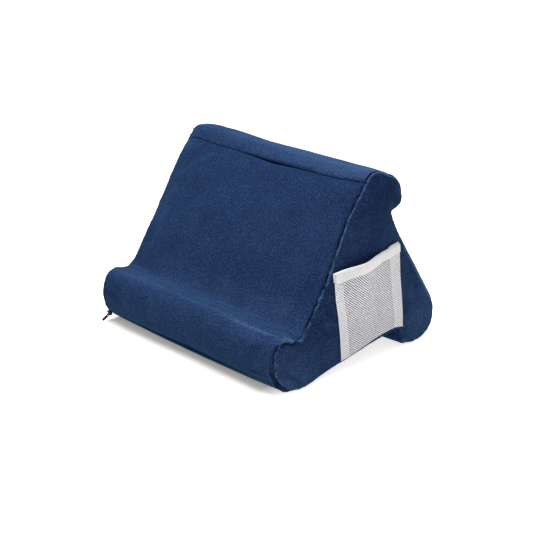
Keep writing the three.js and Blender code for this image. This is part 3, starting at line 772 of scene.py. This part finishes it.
for edge, way in ((0, -1), (POCKET["width"], 1)):
    beyond = (s - edge) * way
    turned = beyond > 0
    bend = np.clip(beyond / HEM_FOLD, 0, math.pi)
    radius = HEM_FOLD + out
    under = np.maximum(beyond - fold_length, 0)
    s = np.where(turned, edge + way * (radius * np.sin(bend) - under), s)
    out = np.where(turned, radius * np.cos(bend) - HEM_FOLD, out)
net_obj = new_object("pocket_net", net_mesh)
points = on_pocket(np.stack((s, t, out), axis=1))
low = np.clip(1 - t / FOOT_REACH, 0, 1)
sunk = rising(s, POCKET["width"] - DROOP_FROM, DROOP_FROM) * low
points[:, 2] += (FOOT_ARCH * bell(s, ARCH_AT, ARCH_SPREAD) * low - DROOP * sunk**1.5) * MM
set_points(net_mesh, points)
for polygon in net_mesh.polygons:
    polygon.use_smooth = True
knit, tree, shader = finish_of(
    "white_net", (0.8, 0.8, 0.83), 0.7, **{"Sheen Weight": 0.15, "Sheen Roughness": 0.5, "Specular IOR Level": 0.3},
)
where = node(tree, "ShaderNodeTexCoord")
yarn = node(tree, "ShaderNodeTexNoise", Scale=2600, Detail=2, Roughness=0.6)
cloud = node(tree, "ShaderNodeTexNoise", Scale=60, Detail=3, Roughness=0.6)
tone = ramp(tree, (0.3, (0.70, 0.70, 0.735)), (0.7, (0.83, 0.83, 0.865)))
bump = node(tree, "ShaderNodeBump", Strength=0.3, Distance=0.0002)
link = tree.links.new
link(where.outputs["Object"], yarn.inputs["Vector"])
link(where.outputs["Object"], cloud.inputs["Vector"])
link(weighed(tree, (yarn.outputs["Fac"], 0.5), (cloud.outputs["Fac"], 0.5)), tone.inputs["Fac"])
link(tone.outputs["Color"], shader.inputs["Base Color"])
link(yarn.outputs["Fac"], bump.inputs["Height"])
link(bump.outputs["Normal"], shader.inputs["Normal"])
net_mesh.materials.append(knit)
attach(net_obj, "root")
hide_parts("pocket_mesh")

# Tape on the pocket's mouth
# A plain woven tape, folded lengthwise over the top edge of the net and sewn through. It ends flush with the hems,
# and at the right end it is turned back behind the net, so a second layer shows above it, greyed by painted shade.
TAPE_THICK, TAPE_INNER = 0.8, 1.3
TAPE_FRONT, TAPE_BACK, TAPE_TAPER = 8.3, 8.5, 0.24
TAPE_START, TAPE_END = -0.4, POCKET["width"] - 1.4
TAPE_TURNED, TAPE_RISE = 16, 1.7
TAPE_ALONG, TAPE_AROUND = 72, 36
RIM_SHARE, RIM_WIDTH = 0.45, 0.6
tape_middle = TAPE_INNER + TAPE_THICK / 2
tape_around = TAPE_FRONT + TAPE_BACK + math.pi * tape_middle
strip = bmesh.new()
bmesh.ops.create_grid(strip, x_segments=TAPE_ALONG, y_segments=TAPE_AROUND, size=0.5)
bmesh.ops.recalc_face_normals(strip, faces=strip.faces)
bmesh.ops.solidify(strip, geom=strip.faces[:], thickness=0.2)
levels = [v.co.z for v in strip.verts]
tape_mesh = bpy.data.meshes.new("pocket_tape")
strip.to_mesh(tape_mesh)
strip.free()
points = points_of(tape_mesh)
share = points[:, 0] + 0.5
along_tape = TAPE_START + share * (TAPE_END - TAPE_START)
across_tape = (points[:, 1] + 0.5) * tape_around
rim = np.minimum(across_tape, tape_around - across_tape)
half_thick = np.sign(points[:, 2] - (min(levels) + max(levels)) / 2) * TAPE_THICK / 2
radius = tape_middle + half_thick * np.clip(RIM_SHARE + rim / RIM_WIDTH, 0, 1)
bend = np.clip((across_tape - TAPE_FRONT) / tape_middle, 0, math.pi)
crown = POCKET["front_height"] + slope * along_tape - tape_middle - TAPE_THICK / 2
drop = np.maximum(TAPE_FRONT - across_tape, 0) * (1 + TAPE_TAPER * (0.5 - share))
drop += np.maximum(across_tape - TAPE_FRONT - math.pi * tape_middle, 0)
turned_back = rising(along_tape, TAPE_END - TAPE_TURNED, 1.5) * rising(bend, 1.2, 0.5)
up = crown + radius * np.sin(bend) - drop + TAPE_RISE * turned_back
set_points(tape_mesh, on_pocket(np.stack((along_tape, up, radius * np.cos(bend)), axis=1)))
# Painted shade on the turned-back layer.
shaded = tape_mesh.attributes.new("back_layer_shade", "FLOAT", "POINT")
shaded.data.foreach_set("value", turned_back)
for polygon in tape_mesh.polygons:
    polygon.use_smooth = True
tape = new_object("pocket_tape", tape_mesh)
woven, tree, shader = finish_of(
    "woven_tape", (0.5, 0.5, 0.51), 0.65, **{"Sheen Weight": 0.1, "Sheen Roughness": 0.5, "Specular IOR Level": 0.35},
)
where = node(tree, "ShaderNodeTexCoord")
ribs = node(tree, "ShaderNodeTexWave", Scale=700, Distortion=1.5, Detail=1, bands_direction="Y")
ribs.inputs["Detail Scale"].default_value = 3
soil = node(tree, "ShaderNodeTexNoise", Scale=90, Detail=3, Roughness=0.6)
back_shade = node(tree, "ShaderNodeAttribute", attribute_name="back_layer_shade")
tone = ramp(tree, (0.0, (0.33, 0.33, 0.345)), (0.3, (0.43, 0.43, 0.44)), (0.7, (0.50, 0.50, 0.51)))
bump = node(tree, "ShaderNodeBump", Strength=0.25, Distance=0.0002)
link = tree.links.new
link(where.outputs["Object"], ribs.inputs["Vector"])
link(where.outputs["Object"], soil.inputs["Vector"])
# The turned-back layer is darkened as painted shade.
link(weighed(tree, (soil.outputs["Fac"], 1), (back_shade.outputs["Fac"], -0.5)), tone.inputs["Fac"])
link(tone.outputs["Color"], shader.inputs["Base Color"])
link(ribs.outputs["Fac"], bump.inputs["Height"])
link(bump.outputs["Normal"], shader.inputs["Normal"])
tape.data.materials.append(woven)
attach(tape, "root")
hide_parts("pocket_binding")

# Zip slider and pull
# A small coil-zip slider, cast in zinc and enamelled black, parked at the left end of the zip seam, with a flat
# pull that hangs from its bridge.
EDGE_ROUND = 0.00018
FLAT_WITHIN, SHARP_OVER = math.radians(3), math.radians(40)


def mapped(tree, value, span, result):
    """A value, mapped from one span to another."""
    step = node(tree, "ShaderNodeMapRange")
    step.inputs["From Min"].default_value, step.inputs["From Max"].default_value = span
    step.inputs["To Min"].default_value, step.inputs["To Max"].default_value = result
    tree.links.new(value, step.inputs["Value"])
    return step.outputs["Result"]


enamel, tree, shader = finish_of("black_enamel", (0.006, 0.006, 0.007), 0.4, **{"Specular IOR Level": 0.2})
where = node(tree, "ShaderNodeTexCoord")
wear = node(tree, "ShaderNodeTexNoise", Scale=900, Detail=3, Roughness=0.6)
tone = ramp(tree, (0.3, (0.004, 0.004, 0.005)), (0.75, (0.010, 0.010, 0.012)))
link = tree.links.new
link(where.outputs["Object"], wear.inputs["Vector"])
link(wear.outputs["Fac"], tone.inputs["Fac"])
link(tone.outputs["Color"], shader.inputs["Base Color"])
link(mapped(tree, wear.outputs["Fac"], (0, 1), (0.28, 0.5)), shader.inputs["Roughness"])
for name in ("zip_slider", "zip_pull"):
    metal = bmesh.new()
    metal.from_mesh(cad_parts[name].data)
    bmesh.ops.remove_doubles(metal, verts=metal.verts, dist=1e-6)
    bmesh.ops.dissolve_limit(
        metal, angle_limit=FLAT_WITHIN, verts=metal.verts, edges=metal.edges, use_dissolve_boundaries=False,
    )
    sharp = [e for e in metal.edges if e.is_manifold and e.calc_face_angle(0) > SHARP_OVER]
    bmesh.ops.bevel(metal, geom=sharp, offset=EDGE_ROUND, affect="EDGES", segments=2, profile=0.5, material=-1)
    bmesh.ops.recalc_face_normals(metal, faces=metal.faces)
    mesh = bpy.data.meshes.new("enamel_" + name)
    metal.to_mesh(mesh)
    metal.free()
    piece = new_object("enamel_" + name, mesh)
    mesh.materials.append(enamel)
    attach(piece, "root")
    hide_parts(name)

# Studio
# A white table that fills the picture, a broad soft light overhead, a weak one in front and a pale room. The table
# glows to the right of the stand and further off, where the photo's ground is pure white. The camera stands a little
# above the stand, off its right front corner.
FLOOR = 20
GLOW_SPAN, GLOW_TURN, GLOW = (0.082, 0.112), 0.2, (0.15, 0.74)
FAR_SPAN, FAR_GLOW = (0.4, 1.4), (0, 0.4)
AZIMUTH, ELEVATION, DISTANCE = math.radians(46.8415), math.radians(20.5835), 1.39117
LOOK_AT = Vector((-0.0054, -0.01894, 0.10527))
SHIFT_RIGHT, SHIFT_UP = 0.018385, -0.031703
LENS, SENSOR = 88, 36
floor_mesh = bpy.data.meshes.new("table")
table = bmesh.new()
bmesh.ops.create_grid(table, x_segments=1, y_segments=1, size=FLOOR)
table.to_mesh(floor_mesh)
table.free()
floor = new_object("table", floor_mesh)
white, tree, shader = finish_of(
    "white_table", (0.8, 0.8, 0.8), 0.8, **{"Specular IOR Level": 0.1, "Emission Color": (1, 0.99, 0.97, 1)},
)
where = node(tree, "ShaderNodeTexCoord")
grain = node(tree, "ShaderNodeTexNoise", Scale=30, Detail=3)
tone = ramp(tree, (0.3, (0.73, 0.70, 0.67)), (0.7, (0.75, 0.72, 0.69)))
sides = node(tree, "ShaderNodeSeparateXYZ")
away = node(tree, "ShaderNodeVectorMath", operation="LENGTH")
link = tree.links.new
link(where.outputs["Object"], grain.inputs["Vector"])
link(where.outputs["Object"], sides.inputs["Vector"])
link(where.outputs["Object"], away.inputs[0])
link(grain.outputs["Fac"], tone.inputs["Fac"])
link(tone.outputs["Color"], shader.inputs["Base Color"])
glow = mapped(tree, weighed(tree, (sides.outputs["X"], 1), (sides.outputs["Y"], GLOW_TURN)), GLOW_SPAN, GLOW)
far_glow = mapped(tree, away.outputs["Value"], FAR_SPAN, FAR_GLOW)
link(weighed(tree, (glow, 1), (far_glow, 1)), shader.inputs["Emission Strength"])
floor_mesh.materials.append(white)


def soft_light(name, place, aim, size, watts):
    lamp = bpy.data.lights.new(name, "AREA")
    lamp.shape = "DISK"
    lamp.size = size
    lamp.energy = watts
    holder = new_object(name, lamp)
    holder.location = place
    holder.rotation_euler = (Vector(aim) - Vector(place)).to_track_quat("-Z", "Y").to_euler()


soft_light("overhead", (-0.25, -0.12, 1.65), (0, 0, 0.1), 1.3, 48)
soft_light("front_fill", (-0.5, -1.9, 1.1), (0, 0, 0.1), 1.0, 10)
world = bpy.data.worlds.new("pale_room")
bpy.context.scene.world = world
world.use_nodes = True
world.node_tree.nodes["Background"].inputs["Color"].default_value = (1, 1, 1, 1)
world.node_tree.nodes["Background"].inputs["Strength"].default_value = 0.8

back = Vector((
    math.sin(AZIMUTH) * math.cos(ELEVATION), -math.cos(AZIMUTH) * math.cos(ELEVATION), math.sin(ELEVATION),
))
right = Vector((math.cos(AZIMUTH), math.sin(AZIMUTH), 0))
upward = back.cross(right)
camera_data = bpy.data.cameras.new("camera")
camera_data.lens = LENS
camera_data.sensor_width = SENSOR
camera_data.dof.use_dof = False
camera = new_object("camera", camera_data)
camera.location = LOOK_AT + back * DISTANCE + right * SHIFT_RIGHT + upward * SHIFT_UP
camera.rotation_euler = Matrix((right, upward, back)).transposed().to_euler()
bpy.context.scene.camera = camera
bpy.context.scene.view_settings.view_transform = "Standard"
